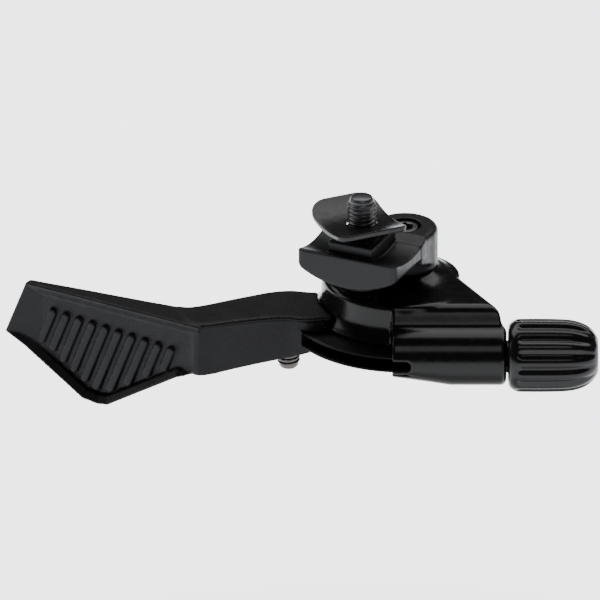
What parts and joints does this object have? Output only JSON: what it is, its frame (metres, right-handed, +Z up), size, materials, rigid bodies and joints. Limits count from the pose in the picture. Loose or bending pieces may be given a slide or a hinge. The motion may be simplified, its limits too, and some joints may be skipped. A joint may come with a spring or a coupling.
{
  "type": "thumb lever cable remote",
  "caption": "Under-bar thumb lever that pulls a cable, with a ribbed paddle, sprung hub, fluted barrel adjuster, and a saddle bracket that hangs it from a brake clamp.",
  "frame": {"origin": "lowest line of the bracket's saddle, on the clamp screw's axis", "axes": "+X along the cable barrel, out of the adjuster; +Y forward on the bike, the way the thumb pushes; +Z up, along the clamp screw to the handlebar"},
  "size_m": [0.0991, 0.0321, 0.041],
  "materials": {
    "body_paint": "gloss black paint over a fine casting",
    "lever_satin": "satin black with a fine cast grain",
    "bracket_anodised": "dark grey satin anodised",
    "black_oxide": "black oxide on steel",
    "nut_black": "semi-gloss black on pressed plate",
    "knob_plastic": "semi-gloss black moulded",
    "bare_steel": "bare plated steel",
    "spring_steel": "drawn and ground",
    "bush_polymer": "black bearing polymer"
  },
  "bodies": {
    "body": {"lever_body": "body_paint", "clamp_bracket": "bracket_anodised", "pivot_axle": "spring_steel", "pivot_bolt": "black_oxide", "pivot_bolt_washer": "black_oxide", "pivot_nut": "black_oxide", "lower_thrust_washer": "spring_steel", "upper_thrust_washer": "spring_steel", "return_spring": "spring_steel", "clamp_screw_washer": "black_oxide", "screw_retaining_ring": "bush_polymer"},
    "lever": {"lever_arm": "lever_satin", "cable_set_screw": "bare_steel", "lower_bush": "bush_polymer", "upper_bush": "bush_polymer"},
    "click_ring": {"detent_ring": "bush_polymer", "detent_spring": "spring_steel"},
    "adjuster": {"adjuster_knob": "knob_plastic", "adjuster_barrel": "black_oxide"},
    "screw": {"clamp_screw": "black_oxide"},
    "nut": {"clamp_nut": "nut_black"}
  },
  "joints": [
    {"name": "lever_pivot", "type": "hinge", "parent": "body", "child": "lever", "pos_m": [0.00725, 0.0071, -0.017], "axis": [0, 0, -1], "range_deg": [0, 28], "stiffness_Nm_per_rad": 0.2, "springref_deg": -28.65, "deforming": ["return_spring"]},
    {"name": "adjuster_turn", "type": "hinge", "parent": "body", "child": "click_ring", "pos_m": [0.025, -0.0084, -0.01553], "axis": [1, 0, 0], "range_deg": [0, 1085]},
    {"name": "adjuster_travel", "type": "slide", "parent": "click_ring", "child": "adjuster", "axis": [1, 0, 0], "range_m": [0, 0.003]},
    {"name": "clamp_screw_turn", "type": "hinge", "parent": "body", "child": "screw", "pos_m": [0, 0, 0], "axis": [0, 0, 1], "range_deg": [-1445, 410]},
    {"name": "clamp_nut_travel", "type": "slide", "parent": "body", "child": "nut", "axis": [0, 0, -1], "range_m": [-0.0032, 0.0009]}
  ],
  "couplings": [
    {"joint": "adjuster_turn", "follows": "adjuster_travel", "rad_per_m": 6283.2},
    {"joint": "clamp_screw_turn", "follows": "clamp_nut_travel", "rad_per_m": 7854}
  ]
}
